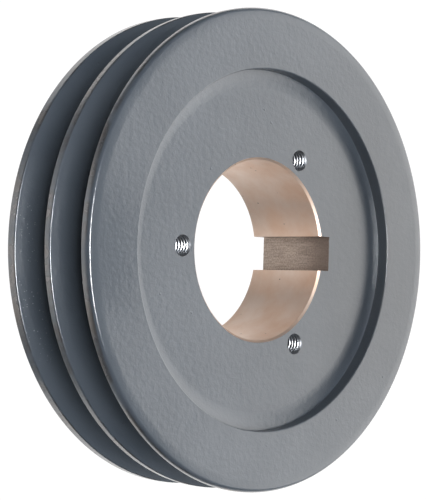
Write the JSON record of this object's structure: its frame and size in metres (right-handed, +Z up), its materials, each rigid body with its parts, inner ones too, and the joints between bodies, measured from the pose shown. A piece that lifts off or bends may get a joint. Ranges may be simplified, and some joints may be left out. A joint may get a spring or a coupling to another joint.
{
  "type": "v belt pulley",
  "caption": "Grooved V belt pulley with a recessed face, keyed taper bore and tapped hub; its split taper bushing and screws stand drawn off along the shaft line.",
  "frame": {"origin": "on the shaft line, half way through the rim", "axes": "Y is the shaft line and the recessed front faces -Y; the bore's keyway is towards +X; +Z is up"},
  "size_m": [0.177, 0.222, 0.177],
  "materials": {
    "grey_enamel": "grey semi-gloss enamel on iron; the bore and keyway are bare machined iron",
    "bushing_iron": "machined grey iron with a phosphate finish",
    "key_steel": "cold drawn key steel",
    "plated_steel": "zinc plated steel",
    "black_steel": "black oxide steel"
  },
  "bodies": {
    "sheave": {"front_flange": "grey_enamel", "middle_flange": "grey_enamel", "rear_flange": "grey_enamel", "rim_barrel": "grey_enamel", "web_disc": "grey_enamel", "hub": "grey_enamel"},
    "bushing": {"split_taper_bushing": "bushing_iron", "bushing_key": "key_steel"},
    "set_screw": {"key_set_screw": "black_steel"},
    "screw_stack_1": {"lock_washer_1": "plated_steel"},
    "screw_1": {"cap_screw_1": "plated_steel"},
    "screw_stack_2": {"lock_washer_2": "plated_steel"},
    "screw_2": {"cap_screw_2": "plated_steel"},
    "screw_stack_3": {"lock_washer_3": "plated_steel"},
    "screw_3": {"cap_screw_3": "plated_steel"}
  },
  "joints": [
    {"name": "bushing_slide", "type": "slide", "parent": "sheave", "child": "bushing", "axis": [0, 1, 0], "range_m": [0, 0.145]},
    {"name": "set_screw_drive", "type": "slide", "parent": "bushing", "child": "set_screw", "axis": [0, 0, -1], "range_m": [0, 0.003]},
    {"name": "cap_screw_drive_1", "type": "slide", "parent": "bushing", "child": "screw_stack_1", "axis": [0, 1, 0], "range_m": [0, 0.016]},
    {"name": "cap_screw_turn_1", "type": "hinge", "parent": "screw_stack_1", "child": "screw_1", "pos_m": [0.0199, -0.19, 0.03447], "axis": [0, 1, 0], "range_deg": [0, 4100]},
    {"name": "cap_screw_drive_2", "type": "slide", "parent": "bushing", "child": "screw_stack_2", "axis": [0, 1, 0], "range_m": [0, 0.016]},
    {"name": "cap_screw_turn_2", "type": "hinge", "parent": "screw_stack_2", "child": "screw_2", "pos_m": [-0.0398, -0.19, 0], "axis": [0, 1, 0], "range_deg": [0, 4100]},
    {"name": "cap_screw_drive_3", "type": "slide", "parent": "bushing", "child": "screw_stack_3", "axis": [0, 1, 0], "range_m": [0, 0.016]},
    {"name": "cap_screw_turn_3", "type": "hinge", "parent": "screw_stack_3", "child": "screw_3", "pos_m": [0.0199, -0.19, -0.03447], "axis": [0, 1, 0], "range_deg": [0, 4100]}
  ],
  "couplings": [
    {"joint": "cap_screw_turn_1", "follows": "cap_screw_drive_1", "rad_per_m": 4452.7},
    {"joint": "cap_screw_turn_2", "follows": "cap_screw_drive_2", "rad_per_m": 4452.7},
    {"joint": "cap_screw_turn_3", "follows": "cap_screw_drive_3", "rad_per_m": 4452.7}
  ]
}
